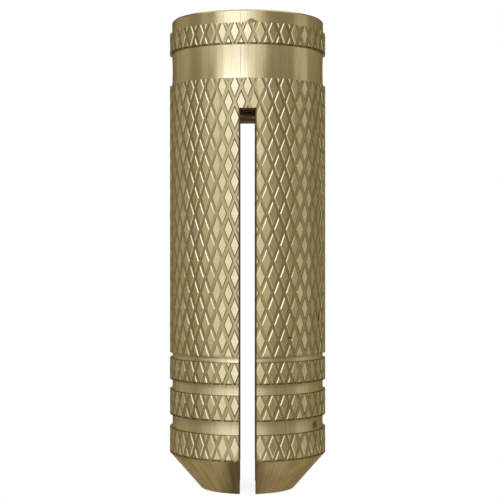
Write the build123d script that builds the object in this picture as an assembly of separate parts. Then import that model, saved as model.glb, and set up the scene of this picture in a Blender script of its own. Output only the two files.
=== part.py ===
from build123d import *
import os
from math import ceil, cos, degrees, floor, pi, radians, sin, tan

# Brass expansion anchor for an M6 screw and an 8 mm hole: one turned and diamond-knurled
# sleeve. It is slit from its coned nose almost to the collar. The screw passes the
# threaded stretch, runs into the narrow pilot bore and spreads the two legs.
# Millimetres and degrees. The nose rests on Z = 0, the collar is up, and the slit runs
# along Y, so that one sees through it from the front.

# Sleeve
total_length = 24.0
knurl_diameter = 8.05
collar_height = 0.66
collar_edge_break = 0.08
nose_length = 1.86
nose_tip_diameter = 4.80
nose_tip_rounding = 0.12

# Diamond knurl
knurl_count = 40
knurl_angle = 22.06
knurl_depth = 0.105
crest_share = 0.556
neck_relief = 0.015

# Slit
slit_width = 0.78
slit_length = 19.17

# Bore
thread_minor_diameter = 4.92
thread_depth = 15.0
thread_entry_diameter = 6.30
pilot_diameter = 3.20
pilot_edge_break = 0.10
bore_cone_half_angle = 30.0

# Knurled bands from the collar down. A gap is the plain stretch above a band, and a row the
# height of the centres of one row of diamonds above its lower edge. The body and the middle
# ring have no row of their own: their lower edges run through crossings of the grooves.
top_band_height = 1.05
top_band_row = 0.62
neck_height = 1.65
upper_ring_gap = 0.27
upper_ring_height = 1.10
upper_ring_row = 0.58
middle_ring_gap = 0.51
middle_ring_height = 1.28
lower_ring_gap = 0.66
lower_ring_height = 1.30
lower_ring_row = 0.72

# Allowances of the construction, none of which shows on the finished sleeve
cut_margin = 1.0
ring_overlap = 0.1

# Worked out from the sizes above
crest_radius = knurl_diameter / 2
root_radius = crest_radius - knurl_depth
neck_radius = root_radius - neck_relief
blank_radius = crest_radius + knurl_depth
half_pitch = radians(180 / knurl_count)
row_step = pi * crest_radius / knurl_count / tan(radians(knurl_angle))


def bands():
    """The lower edge, upper edge and row height of each knurled band."""
    top_upper = total_length - collar_height
    top_lower = top_upper - top_band_height
    body_upper = top_lower - neck_height
    lower_ring_upper = nose_length + lower_ring_height
    middle_ring_lower = lower_ring_upper + lower_ring_gap
    middle_ring_upper = middle_ring_lower + middle_ring_height
    upper_ring_lower = middle_ring_upper + middle_ring_gap
    upper_ring_upper = upper_ring_lower + upper_ring_height
    body_lower = upper_ring_upper + upper_ring_gap
    return [
        (top_lower, top_upper, top_band_row),
        (body_lower, body_upper, row_step),
        (upper_ring_lower, upper_ring_upper, upper_ring_row),
        (middle_ring_lower, middle_ring_upper, row_step),
        (nose_length, lower_ring_upper, lower_ring_row),
    ]


def on_cylinder(radius, angle, height):
    """The point at this radius, angle in radians and height."""
    return Vector(radius * cos(angle), radius * sin(angle), height)


def flat(*corners):
    """The flat face between these corners."""
    return Face(Wire.make_polygon(corners))


def diamond():
    """One raised diamond of the knurl at angle 0 and height 0: a flat crest, four flanks."""
    root_half_width = root_radius * sin(half_pitch)
    crest_half_width = crest_share * root_half_width
    crest_plane = (crest_radius**2 - crest_half_width**2) ** 0.5
    side_drop = crest_plane - root_radius * cos(half_pitch)
    tip_drop = crest_plane - root_radius
    # with this crest height the four corners of each flank lie in one plane
    tip_lever = crest_half_width * side_drop + (root_half_width - crest_half_width) * tip_drop
    crest_half_height = crest_half_width * side_drop * row_step / tip_lever
    crest = [
        Vector(crest_plane, -crest_half_width, 0),
        Vector(crest_plane, 0, -crest_half_height),
        Vector(crest_plane, crest_half_width, 0),
        Vector(crest_plane, 0, crest_half_height),
    ]
    root = [
        on_cylinder(root_radius, -half_pitch, 0),
        on_cylinder(root_radius, 0, -row_step),
        on_cylinder(root_radius, half_pitch, 0),
        on_cylinder(root_radius, 0, row_step),
    ]
    faces = [flat(*crest)]
    for i in range(4):
        j = (i + 1) % 4
        faces.append(flat(root[i], root[j], crest[j], crest[i]))
    return faces


def row_place(row, row_height):
    """Where this row of diamonds stands: every other row is turned by half a pitch."""
    turn = degrees(half_pitch) * (row % 2)
    return Pos(0, 0, row_height + row * row_step) * Rot(0, 0, turn)


def rod_end(row, row_height, side):
    """The triangles that close a knurled rod above (side 1) or below (-1) its last row."""
    place = row_place(row, row_height)
    faces = []
    for column in range(knurl_count):
        middle = 2 * half_pitch * column
        tip = on_cylinder(root_radius, middle, side * row_step)
        for turn in (-half_pitch, half_pitch):
            node = on_cylinder(root_radius, middle + turn, 0)
            faces.append(place * flat(Vector(0, 0, 0), node, tip))
    return faces


def knurled_rod(low, high, row_height):
    """A rod of diamonds that reaches past low and high, with a row at row_height."""
    first = floor((low - ring_overlap - row_height) / row_step)
    last = ceil((high + 2 * ring_overlap - row_height) / row_step)
    turns = [Rot(0, 0, 360 / knurl_count * column) for column in range(knurl_count)]
    row_of_diamonds = Compound([turn * face for turn in turns for face in diamond()])
    faces = rod_end(first, row_height, -1) + rod_end(last, row_height, 1)
    for row in range(first, last + 1):
        faces += (row_place(row, row_height) * row_of_diamonds).faces()
    return Solid(Shell(faces))


def band_blank(low, high):
    """The plain ring that trims one band."""
    ring = Cylinder(blank_radius, high - low) - Cylinder(neck_radius - ring_overlap, high - low)
    return Pos(0, 0, (low + high) / 2) * ring


def knurled_bar():
    """The plain bar with its knurled bands, before the ends, bore and slit are cut."""
    bar = Pos(0, 0, total_length / 2) * Cylinder(neck_radius, total_length + 2 * cut_margin)
    rings = []
    for low, high, row in bands():
        # the lowest band runs on into the nose, whose cone trims it
        end = low if low > nose_length else 0
        rings.append(band_blank(end, high) & knurled_rod(end, high, low + row))
    return bar + rings


def revolved(*outline):
    """The solid of revolution about Z of a closed outline of (radius, height) points."""
    points = [(radius, 0, height) for radius, height in outline]
    return revolve(make_face(Polyline(*points, close=True)), Axis.Z)


def bore():
    """The hole through the sleeve: thread entry, threaded stretch, cone and pilot bore."""
    minor = thread_minor_diameter / 2
    entry = thread_entry_diameter / 2
    pilot = pilot_diameter / 2
    cone_top = total_length - thread_depth
    cone_low = cone_top - (minor - pilot) / tan(radians(bore_cone_half_angle))
    return revolved(
        (0, -cut_margin),
        (pilot + pilot_edge_break + cut_margin, -cut_margin),
        (pilot, pilot_edge_break),
        (pilot, cone_low),
        (minor, cone_top),
        (minor, total_length - (entry - minor)),
        (entry + cut_margin, total_length + cut_margin),
        (0, total_length + cut_margin),
    )


def slit():
    """The saw cut across both walls, from below the nose up to its square end."""
    cut = Box(slit_width, 2 * blank_radius, slit_length + cut_margin)
    return Pos(0, 0, (slit_length - cut_margin) / 2) * cut


def turned_envelope():
    """The form between the two ends: the nose's cone and the collar's edge break."""
    nose_tip_radius = nose_tip_diameter / 2
    nose_slope = nose_length / (crest_radius - nose_tip_radius)
    rim_radius = neck_radius - collar_edge_break
    envelope = revolved(
        (0, 0),
        (nose_tip_radius, 0),
        (blank_radius, nose_slope * (blank_radius - nose_tip_radius)),
        (blank_radius, total_length - (blank_radius - rim_radius)),
        (rim_radius, total_length),
        (0, total_length),
    )
    nose_tip = envelope.edges().group_by(Axis.Z)[0]
    return fillet(nose_tip, nose_tip_rounding)


def anchor_sleeve():
    """The whole anchor, one solid."""
    return knurled_bar() & (turned_envelope() - bore() - slit())


os.makedirs("parts", exist_ok=True)
export_step(anchor_sleeve(), "parts/anchor_sleeve.step")
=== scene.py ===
import math
import bmesh
import bpy
import numpy as np
from mathutils import Matrix, Vector

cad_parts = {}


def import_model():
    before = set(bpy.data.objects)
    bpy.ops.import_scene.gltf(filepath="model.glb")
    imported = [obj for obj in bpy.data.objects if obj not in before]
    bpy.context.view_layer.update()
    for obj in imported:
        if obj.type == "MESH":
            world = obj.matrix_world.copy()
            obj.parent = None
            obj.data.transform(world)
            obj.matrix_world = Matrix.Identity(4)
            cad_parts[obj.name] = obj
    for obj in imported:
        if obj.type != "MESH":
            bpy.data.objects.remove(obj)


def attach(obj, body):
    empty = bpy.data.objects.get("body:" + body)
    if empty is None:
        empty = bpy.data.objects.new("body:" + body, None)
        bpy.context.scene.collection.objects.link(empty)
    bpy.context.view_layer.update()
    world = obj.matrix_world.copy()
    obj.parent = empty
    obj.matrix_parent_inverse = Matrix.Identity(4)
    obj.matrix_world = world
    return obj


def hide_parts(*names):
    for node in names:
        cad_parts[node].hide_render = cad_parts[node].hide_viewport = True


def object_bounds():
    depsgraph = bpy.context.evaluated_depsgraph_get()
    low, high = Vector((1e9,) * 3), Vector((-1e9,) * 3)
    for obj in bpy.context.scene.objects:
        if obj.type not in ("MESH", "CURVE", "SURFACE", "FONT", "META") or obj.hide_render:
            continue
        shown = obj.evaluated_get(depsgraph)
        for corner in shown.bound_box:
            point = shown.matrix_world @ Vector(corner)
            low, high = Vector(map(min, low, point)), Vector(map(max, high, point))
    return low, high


# Looks of the brass expansion anchor: one detailed mesh stands for the plain sleeve.
# Its form is worked out in millimetres and handed over in metres.

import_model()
cad_box = [list(corner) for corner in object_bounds()]
MM = 0.001
NODE = "anchor_sleeve"

# Turned form, as in the solid
total_length = cad_box[1][2] / MM
crest_radius = 4.025
collar_edge_break = 0.08
neck_radius = 3.905
nose_length = 1.86
nose_tip_radius = 2.40
nose_tip_rounding = 0.12
slit_width = 0.78
slit_length = 19.17

# Diamond knurl: shares are of one pitch, measured square to a groove
knurl_count = 40
knurl_angle = 22.06
groove_floor_half_share = 0.106
groove_top_half_share = 0.195
groove_depth = 0.037
groove_side_depth = 0.033
crest_unevenness = 0.0016
knurl_seed = 7
row_step = math.pi * crest_radius / knurl_count / math.tan(math.radians(knurl_angle))

# Each band's lower edge, upper edge, and height of a row of diamonds over its lower edge
bands = [
    (22.29, 23.34, 0.62),
    (6.98, 20.64, row_step),
    (5.61, 6.71, 0.58),
    (3.82, 5.10, row_step),
    (1.86, 3.16, 0.72),
]
# How dark the painted shade along the lower and the upper edge of each band is
edge_shades = [(1.0, 0.0), (0.35, 0.15), (1.0, 0.7), (1.0, 0.8), (1.0, 0.8)]
gap_hollow = 0.022

# Bore with a thread, whose flat root and flat crest are shares of its pitch
thread_minor_radius = 2.46
thread_major_radius = 3.0
thread_pitch = 1.0
thread_root_half_share = 1 / 16
thread_crest_half_share = 1 / 8
thread_end_height = 9.0
thread_runout = 1.6
thread_entry_radius = 3.15
pilot_radius = 1.6
pilot_edge_break = 0.10
pilot_top_height = 7.51

# Fineness of the mesh, and how far a cutting form reaches past what it cuts
round_steps = 360
bore_steps = 96
thread_steps_per_turn = 16
rounding_steps = 8
gap_steps = 8
height_decimals = 6
reach = 0.2
far_reach = 1.0

# Shading: the least bend that shows as an edge, and how much a large flat face counts
crease_degrees = 9
flat_face_weight = 60

# Telling faces apart: how near a face lies to a wall, and how squarely it faces
wall_margin = 0.002
facing_along_axis = 0.9
facing_across_slit = 0.99

# Colours of the brass
clean_brass = (0.75, 0.65, 0.405, 1.0)
dull_brass = (0.60, 0.505, 0.27, 1.0)
groove_brass = (0.43, 0.365, 0.185, 1.0)
# Colour of the dark marks: real stains and groove corners, painted shade along the band edges and beside
# the slit, and a painted dark reflection line
stain_and_shade = (0.11, 0.075, 0.03, 1.0)
# The nose is darkened as painted shade, most in a stripe around the slit; its reddish tint is its own
nose_shaded_brass = (0.31, 0.25, 0.115, 1.0)
nose_red = (0.26, 0.17, 0.075, 1.0)
nose_stripe_shade = (0.09, 0.062, 0.026, 1.0)
# Inside: brass darkened as painted shade, most on the walls of the slit
slit_wall_shade = (0.16, 0.13, 0.055, 1.0)
bore_shaded_brass = (0.50, 0.38, 0.18, 1.0)

# How much of the light a grazing view gives back, from a skin that is no mirror
edge_tint = (0.55, 0.50, 0.40, 1.0)

# Noises: grains per millimetre along X, Y and Z, and how many finer layers each has
cloud_noise = ((0.55, 0.55, 0.35), 3.0)
speckle_noise = ((14.0, 14.0, 14.0), 2.0)
streak_noise = ((11.0, 11.0, 0.16), 4.0)
turning_noise = ((0.4, 0.4, 28.0), 2.0)
blotch_noise = ((0.9, 0.9, 0.7), 4.0)
# The tone is read once for each diamond, by its column and row instead of its place
tone_noise = ((40.0, 40.0, 3.7), 0.0)

# A span gives where an effect starts and where it is whole, and a share how strong it gets.
# Dulling of the clean brass
cloud_in_dulling = 0.9
speckle_in_dulling = 0.5
dulling_span = (0.5, 1.0)
streak_span = (0.46, 0.62)
streak_share = 0.9
tone_span = (0.35, 0.65)
tone_share = 0.45
collar_span = (-0.01, 0.05)
collar_share = 0.55
groove_floor_span = (0.37, 0.41)

# Reddish tarnish of the nose, over painted shade that is darkest in a stripe around the slit
streak_in_red = 0.35
blotch_in_red = 0.65
red_span = (0.42, 0.58)
stripe_place = -0.25
stripe_span = (1.25, 0.5)
stripe_levels = (-0.48, 0.40)
streak_in_stripe = 1.1

# Dark marks, of which those along the band edges and beside the slit are painted shade: spans are in
# millimetres, in a groove in shares of a pitch from the crest's middle, and for a spot from 1 at its rim
# to 0 in its middle
corner_start = (0.365, 0.395)
corner_end = (0.445, 0.410)
corner_share = 0.2
# Painted shadow under the lower edges of the bands, and painted shade along their upper edges
lower_line_span = (0.06, 0.03)
lower_line_raggedness = 0.08
lower_line_over_groove = (0.40, 0.47)
lower_line_left_there = 0.25
upper_line_span = (0.045, 0.02)
# Painted shade on the outer skin beside the slit
slit_line_span = (0.07, 0.045)
spot_span = (1.0, 0.3)
dark_share = 0.9

# Heights between which the painted shade inside turns from the darker one of the slit to the lighter one
# of the bore
inside_span = (17.5, 18.5)

# Roughness
polish_span = (0.5, 1.0)
streak_in_polish = 0.5
polished, least_polished = 0.16, 0.26
low_gap_span = (7.4, 6.9)
low_gap_roughness = 0.30
groove_roughness = 0.33
dark_roughness = 0.5
inside_roughness = 0.6
nose_roughness = 0.4

# Fine relief: its depth in millimetres, its strength, and what it takes in besides streaks
relief_depth = 0.004
relief_strength = 0.35
turning_in_relief = 0.6
speckle_in_relief = 0.35

# Stains and nicks on the front, and a painted dark reflection line on the neck and collar:
# across, up, half width, half height, raggedness and darkness
front_stains_and_reflection_line = [
    (0.16, 23.43, 0.30, 0.13, 6.0, 0.9),
    (3.38, 3.42, 0.16, 0.22, 4.0, 1.0),
    (3.60, 8.85, 0.05, 0.30, 2.0, 1.0),
    (2.10, 7.90, 0.16, 0.05, 2.0, 1.0),
    # A thin dark vertical line on the neck and on the collar: a painted dark reflection
    (-0.35, 21.46, 0.030, 1.2, 0.8, 0.45),
    (-0.35, 23.75, 0.030, 0.6, 0.8, 0.35),
]

# Lamps: azimuth from the camera's side and half width, lowest and highest elevation, all in
# degrees, then radiance and colour. Their distance from the anchor's axis is in metres.
lamp_distance = 0.16
bright, light_cool = (0.92, 1.0, 1.45), (0.94, 1.0, 1.30)
cool, plain = (0.95, 1.0, 1.16), (1.0, 1.0, 1.0)
lamps = {
    "left_edge": (-67, 6, -15, 25, 0.22, plain),
    "key_soft": (-55, 6, -15, 12, 0.36, plain),
    "key_side": (-43, 6, -15, 12, 0.60, cool),
    "key_left": (-29, 8, -15, 12, 0.85, cool),
    "key": (-12.5, 8.5, -15, 12, 1.02, bright),
    "key_right": (7, 11, -15, 12, 0.68, cool),
    "key_top_side": (-41, 7, 12, 42, 1.10, cool),
    "key_top": (-16, 18, 12, 42, 1.70, light_cool),
    "fill": (21, 3, -15, 12, 0.42, plain),
    "fill_side": (26, 4, -15, 12, 0.30, plain),
    "fill_top": (7, 5, 12, 42, 1.00, cool),
    "fill_top_side": (18, 6, 12, 42, 0.50, plain),
    "right_edge": (88, 13, -15, 20, 0.27, plain),
    "left_side": (-118, 20, -15, 20, 0.12, plain),
    "table": (-15, 33, -42, -16, 0.32, plain),
}

# World, walls and floor, with lengths in metres
white = (1.0, 1.0, 1.0, 1.0)
soft_light, seen_white = 0.6, 1.0
wall_colour = (1.0, 0.92, 0.72, 1.0)
wall_radius = 0.30
wall_heights = (-0.30, 0.36)
wall_steps = 64
wall_level, wall_dim = 0.38, 0.20
wall_upper_fade = (0.06, 0.13)
wall_lower_fade = (-0.04, -0.11)
plinth_radius = 0.0085
plinth_steps = 96
plinth_colour = (0.85, 0.85, 0.84, 1.0)
plinth_roughness = 0.9
plinth_glow = 1.1
plinth_glow_shares = (0.8, 1.0)
plinth_fade = (0.0, plinth_radius * 0.9)

# Camera: lengths in metres, and lens and sensor in millimetres
camera_place = (0.0, -0.0684, 0.01205)
camera_lens = 95.0
camera_sensor = 36.0
camera_shift_x, camera_shift_y = 0.0048, 0.007
camera_nearest, camera_farthest = 0.005, 10.0

# Places of the sockets of a colour mix, whose names don't tell them from those for numbers
mix_share, mix_first, mix_second = 0, 6, 7
mix_result = 2


def mesh_object(name, points, faces):
    """A new object with these points and faces."""
    mesh = bpy.data.meshes.new(name)
    mesh.from_pydata(points, [], faces)
    mesh.update()
    made = bpy.data.objects.new(name, mesh)
    bpy.context.scene.collection.objects.link(made)
    return made


def ring(radius, height, steps):
    """Points around Z at this radius and height."""
    turns = [2 * math.pi * step / steps for step in range(steps)]
    return [(radius * math.cos(turn), radius * math.sin(turn), height) for turn in turns]


def ring_faces(rings, steps):
    """Faces between rings of points, with a fan to a middle point at either end."""
    faces = []
    last = 1 + (rings - 1) * steps
    for step in range(steps):
        after = (step + 1) % steps
        faces.append((0, 1 + after, 1 + step))
        faces.append((last + steps, last + step, last + after))
        for number in range(rings - 1):
            low = 1 + number * steps
            high = low + steps
            faces.append((low + step, low + after, high + after, high + step))
    return faces


def revolved(name, outline):
    """A closed solid of revolution about Z from (radius, height) points, bottom to top."""
    points = [(0.0, 0.0, outline[0][1])]
    for radius, height in outline:
        points += ring(radius, height, round_steps)
    points.append((0.0, 0.0, outline[-1][1]))
    return mesh_object(name, points, ring_faces(len(outline), round_steps))


def combined(target, tool, operation):
    """target with the closed solid tool united with it, cut from it or met with it."""
    boolean = target.modifiers.new(operation, "BOOLEAN")
    boolean.operation = operation
    boolean.solver = "MANIFOLD"
    boolean.object = tool
    depsgraph = bpy.context.evaluated_depsgraph_get()
    result = bpy.data.meshes.new_from_object(target.evaluated_get(depsgraph))
    target.modifiers.clear()
    target.data = result
    bpy.data.objects.remove(tool)
    return target


def groove_profile():
    """Places across one pitch, from groove middle to groove middle, and how deep each lies."""
    top = 0.5 - groove_top_half_share
    floor = 0.5 - groove_floor_half_share
    places = [-0.5, -floor, -top, top, floor]
    drops = [groove_depth, groove_side_depth, 0.0, 0.0, groove_side_depth]
    return np.array(places), np.array(drops)


def knurled_rod(name, low, high, row_height, draw):
    """A closed rod of diamonds that reaches past low and high, with a row at row_height.

    Its grid follows both families of grooves, so that every groove and crest has true edges.
    """
    places, drops = groove_profile()
    samples = len(places)
    around = samples * knurl_count
    first = math.floor((low - row_height) / row_step) - 1
    last = math.ceil((high - row_height) / row_step) + 1
    counts = knurl_count, last + 1 - first, samples, samples
    column, row, sample_along, sample_across = np.indices(counts).reshape(len(counts), -1)
    along = (column + row + first) * samples + sample_along
    across = column * samples + sample_across
    corners = []
    for step_along, step_across in ((0, 0), (1, 0), (1, 1), (0, 1)):
        turns = (across + step_across) // around * around
        corners.append(np.stack([along + step_along - turns, across + step_across - turns], 1))
    keys, index = np.unique(np.concatenate(corners), axis=0, return_inverse=True)
    a, b, c, d = index.reshape(4, -1)

    # the diagonal of each square runs along the crease where two grooves cross
    same_side = (sample_along < samples // 2) == (sample_across < samples // 2)
    halves = np.where(same_side, [a, b, c], [a, b, d]), np.where(same_side, [a, c, d], [b, c, d])
    faces = np.concatenate(halves, axis=1).T

    # grooves run between the cells, and a crest is the flat middle of its cell
    cell_along, cell_across = keys[:, 0] // samples, keys[:, 1] // samples
    in_along, in_across = places[keys[:, 0] % samples], places[keys[:, 1] % samples]
    drop = np.maximum(drops[keys[:, 0] % samples], drops[keys[:, 1] % samples])
    turn = (in_along + in_across) * math.pi / knurl_count
    half_turn = 2 * (0.5 - groove_top_half_share) * math.pi / knurl_count
    crest = crest_radius * math.cos(half_turn) / np.cos(turn)
    low_side = draw.normal(0.0, crest_unevenness, size=knurl_count * (last - first + 2))
    cell = (cell_along * knurl_count + cell_across) % len(low_side)
    radius = np.where(drop == 0.0, crest - np.abs(low_side[cell]), crest_radius - drop)
    angle = (cell_along + cell_across) * math.pi / knurl_count + turn
    height = row_height + (cell_along + in_along - cell_across - in_across) * row_step
    points = np.stack([radius * np.cos(angle), radius * np.sin(angle), height], 1)
    rod = mesh_object(name, points.tolist(), faces.tolist())
    close_ends(rod)
    return rod


def close_ends(rod):
    """Closes both open ends of a rod with a fan to a point on its axis."""
    work = bmesh.new()
    work.from_mesh(rod.data)
    rim = [edge for edge in work.edges if edge.is_boundary]
    heights = [vert.co.z for edge in rim for vert in edge.verts]
    middle = (min(heights) + max(heights)) / 2
    for side in (-1, 1):
        end = [edge for edge in rim if side * (edge.verts[0].co.z - middle) > 0]
        level = sum(edge.verts[0].co.z for edge in end) / len(end)
        tip = work.verts.new((0.0, 0.0, level))
        for edge in end:
            work.faces.new((edge.verts[0], edge.verts[1], tip))
    bmesh.ops.recalc_face_normals(work, faces=work.faces)
    work.to_mesh(rod.data)
    work.free()


def band(number, low, high, row, draw):
    """One knurled band between its two plain shoulders."""
    # the lowest band runs on into the nose, whose cone trims it
    end = low if low > nose_length else -far_reach
    rod = knurled_rod("band_%d" % number, end, high, low + row, draw)
    blank = revolved("blank", [(crest_radius + reach, end), (crest_radius + reach, high)])
    return combined(rod, blank, "INTERSECT")


def plain_bar():
    """The bar between the bands, slightly hollow where a round-nosed tool cut each gap."""
    outline = [(neck_radius, -far_reach)]
    shoulders = sorted(height for low, high, row in bands for height in (low, high))[1:-1]
    for low, high in zip(shoulders[::2], shoulders[1::2]):
        for step in range(gap_steps + 1):
            share = step / gap_steps
            hollow = gap_hollow * (1 - (2 * share - 1) ** 2)
            outline.append((neck_radius - hollow, low + share * (high - low)))
    outline.append((neck_radius, total_length + far_reach))
    return revolved("sleeve", outline)


def turned_envelope():
    """The form between the ends: the nose's rounded tip and cone, and the collar's edge break."""
    slope = nose_length / (crest_radius - nose_tip_radius)
    lean = math.atan(slope)
    middle = nose_tip_radius - nose_tip_rounding * math.tan(lean / 2)
    outline = []
    for step in range(rounding_steps + 1):
        turn = lean * step / rounding_steps
        lift = nose_tip_rounding * (1 - math.cos(turn))
        outline.append((middle + nose_tip_rounding * math.sin(turn), lift))
    wide = crest_radius + reach
    rim = neck_radius - collar_edge_break
    outline.append((wide, slope * (wide - nose_tip_radius)))
    outline.append((wide, total_length - (wide - rim)))
    outline.append((rim, total_length))
    return revolved("envelope", outline)


def bore():
    """The hole through the sleeve, with the turns of its thread."""
    below, above = -far_reach, total_length + far_reach
    entry_low = total_length - (thread_entry_radius - thread_minor_radius)
    plain_bore = [
        (below, pilot_radius + pilot_edge_break - below),
        (pilot_edge_break, pilot_radius),
        (pilot_top_height, pilot_radius),
        (thread_end_height, thread_minor_radius),
        (entry_low, thread_minor_radius),
        (above, thread_minor_radius + above - entry_low),
    ]
    plain_heights = [height for height, radius in plain_bore]
    plain_radii = [radius for height, radius in plain_bore]
    step_height = thread_pitch / thread_steps_per_turn
    threaded = np.arange(thread_end_height + step_height, total_length, step_height)
    heights = np.unique(np.round(np.concatenate([plain_heights, threaded]), height_decimals))
    angles = 2 * math.pi * np.arange(bore_steps) / bore_steps

    # the root of a groove lies where the phase is a half
    phase = (heights[:, None] / thread_pitch - angles[None, :] / (2 * math.pi)) % 1.0
    flank_share = 0.5 - thread_root_half_share - thread_crest_half_share
    form = np.clip((np.abs(phase - 0.5) - thread_root_half_share) / flank_share, 0.0, 1.0)
    full_depth = thread_major_radius - thread_minor_radius
    cut_so_far = np.clip((heights - thread_end_height) / thread_runout, 0.0, 1.0)
    depth = np.minimum(full_depth * (1.0 - form), full_depth * cut_so_far[:, None])
    base = np.interp(heights, plain_heights, plain_radii)[:, None]
    in_thread = heights[:, None] > thread_end_height
    radius = np.where(in_thread, np.maximum(base, thread_minor_radius + depth), base)
    points = [(0.0, 0.0, float(heights[0]))]
    for height, radii in zip(heights, radius):
        for distance, angle in zip(radii, angles):
            points.append((distance * math.cos(angle), distance * math.sin(angle), height))
    points.append((0.0, 0.0, float(heights[-1])))
    return mesh_object("bore", points, ring_faces(len(heights), bore_steps))


def slit():
    """The saw cut across both walls."""
    half, wide = slit_width / 2, crest_radius + far_reach
    heights = (-far_reach, slit_length)
    corners = [(x, y, z) for z in heights for y in (-wide, wide) for x in (-half, half)]
    faces = [(0, 2, 3, 1), (4, 5, 7, 6), (0, 1, 5, 4), (2, 6, 7, 3), (0, 4, 6, 2), (1, 3, 7, 5)]
    return mesh_object("slit", corners, faces)


def sleeve():
    """The whole anchor as one closed mesh, still in millimetres."""
    draw = np.random.default_rng(knurl_seed)
    body = plain_bar()
    for number, (low, high, row) in enumerate(bands):
        combined(body, band(number, low, high, row, draw), "UNION")
    combined(body, turned_envelope(), "INTERSECT")
    combined(body, bore(), "DIFFERENCE")
    combined(body, slit(), "DIFFERENCE")
    body.name = "sleeve_surface"
    return body


def face_vectors(mesh, name):
    """The centre or the normal of each face of the mesh, as three rows."""
    values = np.empty(len(mesh.polygons) * 3, dtype=np.float32)
    mesh.polygons.foreach_get(name, values)
    return values.reshape(-1, 3).T


def mark_regions(body):
    """Tells the material what each face is: knurled, inside the bore or slit, or nose."""
    x, y, z = face_vectors(body.data, "center")
    across, _, upward = face_vectors(body.data, "normal")
    radius = np.hypot(x, y)
    knurled = np.zeros(len(z))
    row_height = np.zeros(len(z))
    lower_edge = np.full(len(z), -far_reach)
    upper_edge = np.full(len(z), total_length + far_reach)
    lower_shade = np.zeros(len(z))
    upper_shade = np.zeros(len(z))
    outer = (radius > neck_radius) & (np.abs(upward) < facing_along_axis)
    for (low, high, row), (low_shade, high_shade) in zip(bands, edge_shades):
        here = (z > low) & (z < high) & outer
        knurled[here] = 1
        row_height[here] = low + row
        lower_edge[here] = low
        upper_edge[here] = high
        lower_shade[here] = low_shade
        upper_shade[here] = high_shade
    from_slit = np.abs(x) - slit_width / 2
    slit_wall = (np.abs(from_slit) < wall_margin) & (np.abs(across) > facing_across_slit)
    facing_down = (from_slit < 0) & (upward < -facing_along_axis)
    slit_end = facing_down & (z > slit_length - reach) & (z < slit_length + reach)
    between_ends = (z > nose_tip_rounding) & (z < total_length - wall_margin)
    bore_wall = (radius < thread_entry_radius) & between_ends
    values = {
        "knurled": knurled,
        "row_height": row_height,
        "lower_edge": lower_edge,
        "upper_edge": upper_edge,
        "lower_shade": lower_shade,
        "upper_shade": upper_shade,
        "inside": slit_wall | slit_end | bore_wall,
        "nose": (z < nose_length) & (knurled == 0),
    }
    for name, value in values.items():
        layer = body.data.attributes.new(name, "FLOAT", "FACE")
        layer.data.foreach_set("value", value.astype(np.float32))


def finish_edges(body):
    """Soft shading with true edges, and flat crests that stay flat."""
    body.data.shade_smooth()
    body.data.set_sharp_from_angle(angle=math.radians(crease_degrees))
    weighted = body.modifiers.new("crest_normals", "WEIGHTED_NORMAL")
    weighted.keep_sharp = True
    weighted.weight = flat_face_weight


def connect(tree, value, socket):
    """Links the socket to value if that is a socket too, or else sets it to the value."""
    if isinstance(value, bpy.types.NodeSocket):
        tree.links.new(value, socket)
    else:
        socket.default_value = value


def node(tree, kind, inputs=None, **settings):
    """A shader node with these settings, and a value or a socket for each named input."""
    made = tree.nodes.new(kind)
    for name, value in settings.items():
        setattr(made, name, value)
    for name, value in (inputs or {}).items():
        connect(tree, value, made.inputs[name])
    return made


def maths(tree, operation, *values):
    """The result of a sum on sockets or numbers."""
    inputs = dict(enumerate(values))
    return node(tree, "ShaderNodeMath", inputs, operation=operation).outputs[0]


def mapped(tree, value, span, levels=(0.0, 1.0)):
    """value carried from a span over to the span between two levels, and kept inside it."""
    inputs = {
        "Value": value,
        "From Min": span[0],
        "From Max": span[1],
        "To Min": levels[0],
        "To Max": levels[1],
    }
    return node(tree, "ShaderNodeMapRange", inputs).outputs["Result"]


def blended(tree, share, first, second):
    """The first colour turning into the second as share goes from 0 to 1."""
    mix = node(tree, "ShaderNodeMix", data_type="RGBA")
    connect(tree, share, mix.inputs[mix_share])
    connect(tree, first, mix.inputs[mix_first])
    connect(tree, second, mix.inputs[mix_second])
    return mix.outputs[mix_result]


def grain(tree, coordinates, noise):
    """One of the noises, about 0.5, at these coordinates."""
    stretch, detail = noise
    scaled = node(tree, "ShaderNodeVectorMath", {0: coordinates, 1: stretch}, operation="MULTIPLY")
    inputs = {"Vector": scaled.outputs[0], "Scale": 1.0, "Detail": detail}
    return node(tree, "ShaderNodeTexNoise", inputs).outputs["Fac"]


def marked(tree, name):
    """The value that the mesh carries under this name."""
    return node(tree, "ShaderNodeAttribute", attribute_name=name).outputs["Fac"]


def knurl_place(tree, x, y, z):
    """Noise with one value all over each diamond, and the distance from the diamond's middle.

    The distance is 0 in the middle of a crest and 0.5 in the middle of a groove.
    """
    angle = maths(tree, "ARCTAN2", y, x)
    around = maths(tree, "MULTIPLY", angle, knurl_count / math.pi)
    above = maths(tree, "DIVIDE", maths(tree, "SUBTRACT", z, marked(tree, "row_height")), row_step)
    in_along = maths(tree, "MULTIPLY", maths(tree, "ADD", around, above), 0.5)
    in_across = maths(tree, "MULTIPLY", maths(tree, "SUBTRACT", around, above), 0.5)
    along = maths(tree, "ROUND", in_along)
    across = maths(tree, "ROUND", in_across)
    off_along = maths(tree, "ABSOLUTE", maths(tree, "SUBTRACT", in_along, along))
    off_across = maths(tree, "ABSOLUTE", maths(tree, "SUBTRACT", in_across, across))
    turn = maths(tree, "MULTIPLY", maths(tree, "ADD", along, across), math.pi / knurl_count)
    middle = {
        "X": maths(tree, "COSINE", turn),
        "Y": maths(tree, "SINE", turn),
        "Z": maths(tree, "SUBTRACT", along, across),
    }
    tone = grain(tree, node(tree, "ShaderNodeCombineXYZ", middle).outputs[0], tone_noise)
    return tone, maths(tree, "MAXIMUM", off_along, off_across)


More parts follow.
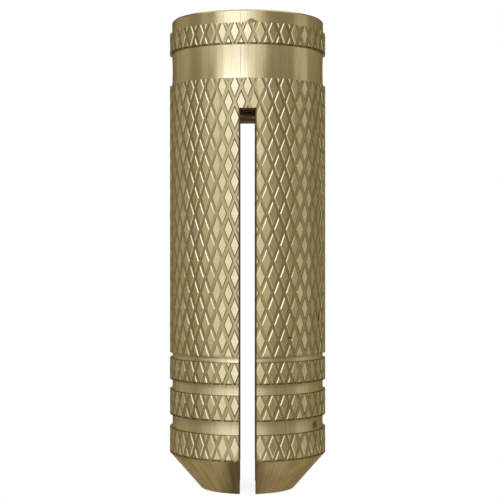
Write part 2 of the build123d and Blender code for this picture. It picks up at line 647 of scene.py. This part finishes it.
def spots(tree, x, y, z, uneven):
    """How far each place lies in one of the front's stains and nicks, or in the painted dark reflection
    line.
    """
    total = 0.0
    for across, up, half_width, half_height, raggedness, darkness in front_stains_and_reflection_line:
        sideways = maths(tree, "DIVIDE", maths(tree, "SUBTRACT", x, across), half_width)
        upward = maths(tree, "DIVIDE", maths(tree, "SUBTRACT", z, up), half_height)
        square = maths(tree, "MULTIPLY_ADD", sideways, sideways, maths(tree, "MULTIPLY", upward, upward))
        smaller = maths(tree, "SUBTRACT", square, raggedness / 2)
        ragged = maths(tree, "MULTIPLY_ADD", uneven, raggedness, smaller)
        total = maths(tree, "MAXIMUM", total, mapped(tree, ragged, spot_span, (0.0, darkness)))
    return maths(tree, "MULTIPLY", total, maths(tree, "LESS_THAN", y, 0.0))


def surface_lines(tree, coordinates, x, y, z):
    """Streaks that run up the sleeve, and the fine marks of turning around it."""
    flat_place = node(tree, "ShaderNodeCombineXYZ", {"X": x, "Y": y}).outputs[0]
    direction = node(tree, "ShaderNodeVectorMath", {0: flat_place}, operation="NORMALIZE").outputs[0]
    upward = node(tree, "ShaderNodeCombineXYZ", {"Z": z}).outputs[0]
    radii = (crest_radius, crest_radius, crest_radius)
    inputs = {0: direction, 1: radii, 2: upward}
    on_skin = node(tree, "ShaderNodeVectorMath", inputs, operation="MULTIPLY_ADD").outputs[0]
    return grain(tree, on_skin, streak_noise), grain(tree, coordinates, turning_noise)


def band_edge_shade(tree, z, off_middle, speckle):
    """How dark each place is from painted shade along the band edges: a shadow under each lower edge,
    paler where a groove ends, and shade along each upper edge.
    """
    above_edge = maths(tree, "SUBTRACT", z, marked(tree, "lower_edge"))
    ragged_edge = maths(tree, "MULTIPLY_ADD", speckle, -lower_line_raggedness, above_edge)
    lower = mapped(tree, ragged_edge, lower_line_span)
    lower = maths(tree, "MULTIPLY", lower, marked(tree, "lower_shade"))
    paler_levels = (1.0, lower_line_left_there)
    over_groove = mapped(tree, off_middle, lower_line_over_groove, paler_levels)
    lower = maths(tree, "MULTIPLY", lower, over_groove)
    below_edge = maths(tree, "SUBTRACT", marked(tree, "upper_edge"), z)
    upper = mapped(tree, below_edge, upper_line_span)
    upper = maths(tree, "MULTIPLY", upper, marked(tree, "upper_shade"))
    return maths(tree, "MAXIMUM", lower, upper)


def dark_marks(tree, x, y, z, off_middle, speckle, knurled):
    """How dark each place is: groove corners, painted shade along the band edges and beside the slit,
    and stains with a painted dark reflection line.
    """
    into_corner = mapped(tree, off_middle, corner_start)
    out_of_corner = mapped(tree, off_middle, corner_end)
    corner = maths(tree, "MULTIPLY", into_corner, out_of_corner)
    corner = maths(tree, "MULTIPLY", corner, corner_share)
    edges = maths(tree, "MAXIMUM", corner, band_edge_shade(tree, z, off_middle, speckle))
    dark = maths(tree, "MULTIPLY", edges, knurled)
    # painted shade on the outer skin beside the slit
    from_slit = maths(tree, "SUBTRACT", maths(tree, "ABSOLUTE", x), slit_width / 2)
    below_end = maths(tree, "LESS_THAN", z, slit_length)
    slit_edge_shade = maths(tree, "MULTIPLY", mapped(tree, from_slit, slit_line_span), below_end)
    dark = maths(tree, "MAXIMUM", dark, slit_edge_shade)
    return maths(tree, "MAXIMUM", dark, spots(tree, x, y, z, speckle))


def dulled_colour(tree, z, cloud, speckle, streak, tone, knurled, smooth):
    """Clean brass with cloudy dulling, streaks on the plain stretches and toned crests."""
    speckled = maths(tree, "MULTIPLY", speckle, speckle_in_dulling)
    dulling = maths(tree, "MULTIPLY_ADD", cloud, cloud_in_dulling, speckled)
    colour = blended(tree, mapped(tree, dulling, dulling_span), clean_brass, dull_brass)
    in_streak = mapped(tree, streak, streak_span, (0.0, streak_share))
    colour = blended(tree, maths(tree, "MULTIPLY", in_streak, smooth), colour, dull_brass)
    on_crest = mapped(tree, tone, tone_span, (0.0, tone_share))
    colour = blended(tree, maths(tree, "MULTIPLY", knurled, on_crest), colour, dull_brass)
    collar_foot = bands[0][1]
    collar_heights = (collar_foot + collar_span[0], collar_foot + collar_span[1])
    on_collar = mapped(tree, z, collar_heights, (0.0, collar_share))
    return blended(tree, maths(tree, "MULTIPLY", on_collar, smooth), colour, dull_brass)


def nose_colour(tree, coordinates, x, streak):
    """Blotchy reddish tarnish on brass darkened as painted shade, with painted shade darkest in a stripe
    around the slit.
    """
    blotch = maths(tree, "MULTIPLY", grain(tree, coordinates, blotch_noise), blotch_in_red)
    reddened = maths(tree, "MULTIPLY_ADD", streak, streak_in_red, blotch)
    colour = blended(tree, mapped(tree, reddened, red_span), nose_shaded_brass, nose_red)
    off_stripe = maths(tree, "ABSOLUTE", maths(tree, "SUBTRACT", x, stripe_place))
    in_stripe = mapped(tree, off_stripe, stripe_span, stripe_levels)
    darkened = maths(tree, "MULTIPLY_ADD", streak, streak_in_stripe, in_stripe)
    return blended(tree, darkened, colour, nose_stripe_shade)


def brass():
    """Unplated brass: clean crests, dull grooves, drawn streaks and small stains, with painted shade on
    edges, nose and inside.
    """
    material = bpy.data.materials.new("brass")
    material.use_nodes = True
    tree = material.node_tree
    shader = tree.nodes["Principled BSDF"]
    place = node(tree, "ShaderNodeTexCoord").outputs["Object"]
    scaled = node(tree, "ShaderNodeVectorMath", {0: place, "Scale": 1 / MM}, operation="SCALE")
    coordinates = scaled.outputs[0]
    x, y, z = node(tree, "ShaderNodeSeparateXYZ", {"Vector": coordinates}).outputs
    knurled, inside, nose = marked(tree, "knurled"), marked(tree, "inside"), marked(tree, "nose")
    smooth = maths(tree, "SUBTRACT", 1.0, knurled)
    cloud = grain(tree, coordinates, cloud_noise)
    speckle = grain(tree, coordinates, speckle_noise)
    streak, turning = surface_lines(tree, coordinates, x, y, z)
    tone, off_middle = knurl_place(tree, x, y, z)

    # over the dulled brass come the groove floors, the nose with its painted shade, the dark marks with
    # painted shade along band and slit edges, and the inside painted as shade
    colour = dulled_colour(tree, z, cloud, speckle, streak, tone, knurled, smooth)
    on_floor = maths(tree, "MULTIPLY", mapped(tree, off_middle, groove_floor_span), knurled)
    colour = blended(tree, on_floor, colour, groove_brass)
    colour = blended(tree, nose, colour, nose_colour(tree, coordinates, x, streak))
    dark = dark_marks(tree, x, y, z, off_middle, speckle, knurled)
    # painted shade along the band edges and beside the slit, with real stains, darkens the colour here
    colour = blended(tree, maths(tree, "MULTIPLY", dark, dark_share), colour, stain_and_shade)
    # the inside is painted as shade, darkest on the slit walls
    shaded_inner_colour = blended(tree, mapped(tree, z, inside_span), slit_wall_shade, bore_shaded_brass)
    colour = blended(tree, inside, colour, shaded_inner_colour)
    tree.links.new(colour, shader.inputs["Base Color"])
    shader.inputs["Metallic"].default_value = 1.0
    shader.inputs["Specular Tint"].default_value = edge_tint

    # polished where clean, and rougher in the low gaps, grooves, marks, inside and nose
    polish = maths(tree, "MULTIPLY_ADD", streak, streak_in_polish, cloud)
    rough = mapped(tree, polish, polish_span, (polished, least_polished))
    in_low_gap = maths(tree, "MULTIPLY", mapped(tree, z, low_gap_span), smooth)
    for where, roughness in (
        (on_floor, groove_roughness),
        (in_low_gap, low_gap_roughness),
        (dark, dark_roughness),
        (inside, inside_roughness),
        (nose, nose_roughness),
    ):
        rough = maths(tree, "MAXIMUM", rough, maths(tree, "MULTIPLY", where, roughness))
    tree.links.new(rough, shader.inputs["Roughness"])

    # drawn streaks and turning marks on the plain stretches, and a fine grain all over
    turned = maths(tree, "MULTIPLY", turning, turning_in_relief)
    lines = maths(tree, "MULTIPLY", maths(tree, "ADD", streak, turned), smooth)
    height = maths(tree, "MULTIPLY_ADD", speckle, speckle_in_relief, lines)
    relief = {"Strength": relief_strength, "Distance": relief_depth * MM, "Height": height}
    bump = node(tree, "ShaderNodeBump", relief)
    tree.links.new(bump.outputs["Normal"], shader.inputs["Normal"])
    return material


def lamp(name, azimuth, half_width, lowest, highest, radiance, colour):
    """A tall soft lamp that faces the anchor's axis."""
    middle = total_length * MM / 2
    low = lamp_distance * math.tan(math.radians(lowest))
    high = lamp_distance * math.tan(math.radians(highest))
    light = bpy.data.lights.new(name, "AREA")
    light.shape = "RECTANGLE"
    light.size = 2 * lamp_distance * math.tan(math.radians(half_width))
    light.size_y = high - low
    light.energy = radiance * math.pi * light.size * light.size_y
    light.color = colour
    made = bpy.data.objects.new(name, light)
    turn = math.radians(azimuth)
    place = Vector((lamp_distance * math.sin(turn), -lamp_distance * math.cos(turn), middle))
    made.location = place + Vector((0, 0, (low + high) / 2))
    made.rotation_euler = (math.radians(90), 0, turn)
    made.visible_camera = False
    bpy.context.scene.collection.objects.link(made)


def white_rays(tree):
    """1 for rays that come from the camera, a reflection or glass, otherwise 0."""
    rays = node(tree, "ShaderNodeLightPath").outputs
    seen = maths(tree, "MAXIMUM", rays["Is Camera Ray"], rays["Is Glossy Ray"])
    return maths(tree, "MAXIMUM", seen, rays["Is Transmission Ray"])


def world():
    """White where it is seen, and plain soft light for everything else."""
    made = bpy.data.worlds.new("studio")
    made.use_nodes = True
    tree = made.node_tree
    background = tree.nodes["Background"]
    background.inputs["Color"].default_value = white
    strength = mapped(tree, white_rays(tree), (0.0, 1.0), (soft_light, seen_white))
    tree.links.new(strength, background.inputs["Strength"])
    bpy.context.scene.world = made


def walls():
    """The studio's warm grey walls, open at the top and seen only in reflections."""
    points = []
    for height in wall_heights:
        points += ring(wall_radius, height, wall_steps)
    faces = []
    for step in range(wall_steps):
        after = (step + 1) % wall_steps
        faces.append((step, after, after + wall_steps, step + wall_steps))
    made = mesh_object("walls", points, faces)
    material = bpy.data.materials.new("walls")
    material.use_nodes = True
    tree = material.node_tree
    tree.nodes.remove(tree.nodes["Principled BSDF"])
    place = node(tree, "ShaderNodeTexCoord").outputs["Object"]
    height = node(tree, "ShaderNodeSeparateXYZ", {"Vector": place}).outputs["Z"]
    upper = mapped(tree, height, wall_upper_fade, (wall_level, wall_dim))
    lower = mapped(tree, height, wall_lower_fade, (wall_level, wall_dim))
    strength = maths(tree, "MINIMUM", upper, lower)
    glow = node(tree, "ShaderNodeEmission", {"Color": wall_colour, "Strength": strength})
    tree.links.new(glow.outputs[0], tree.nodes["Material Output"].inputs["Surface"])
    made.data.materials.append(material)
    made.visible_camera = False
    made.visible_diffuse = False
    made.visible_shadow = False


def plinth():
    """The pale round floor under the anchor, which fades into the white background."""
    rim = ring(plinth_radius, 0.0, plinth_steps)
    made = mesh_object("plinth", rim, [tuple(range(plinth_steps))])
    material = bpy.data.materials.new("plinth")
    material.use_nodes = True
    tree = material.node_tree
    shader = tree.nodes["Principled BSDF"]
    shader.inputs["Base Color"].default_value = plinth_colour
    shader.inputs["Roughness"].default_value = plinth_roughness
    place = node(tree, "ShaderNodeTexCoord").outputs["Object"]
    from_middle = node(tree, "ShaderNodeVectorMath", {0: place}, operation="LENGTH").outputs["Value"]
    share = mapped(tree, from_middle, plinth_fade, plinth_glow_shares)
    share = maths(tree, "MULTIPLY", share, white_rays(tree))
    glow = node(tree, "ShaderNodeEmission", {"Strength": plinth_glow})
    inputs = {0: share, 1: shader.outputs[0], 2: glow.outputs[0]}
    mix = node(tree, "ShaderNodeMixShader", inputs)
    tree.links.new(mix.outputs[0], tree.nodes["Material Output"].inputs["Surface"])
    made.data.materials.append(material)


def camera():
    """The photograph's view: level, near half height, in front of the slit."""
    data = bpy.data.cameras.new("camera")
    data.lens = camera_lens
    data.sensor_width = camera_sensor
    data.shift_x = camera_shift_x
    data.shift_y = camera_shift_y
    data.clip_start = camera_nearest
    data.clip_end = camera_farthest
    made = bpy.data.objects.new("camera", data)
    made.location = camera_place
    made.rotation_euler = (math.radians(90), 0, 0)
    bpy.context.scene.collection.objects.link(made)
    bpy.context.scene.camera = made


body = sleeve()
mark_regions(body)
body.data.transform(Matrix.Scale(MM, 4))
finish_edges(body)
body.data.materials.clear()
body.data.materials.append(brass())
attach(body, "root")
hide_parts(NODE)

camera()
world()
walls()
plinth()
for name, settings in lamps.items():
    lamp(name, *settings)
bpy.context.scene.view_settings.view_transform = "Standard"
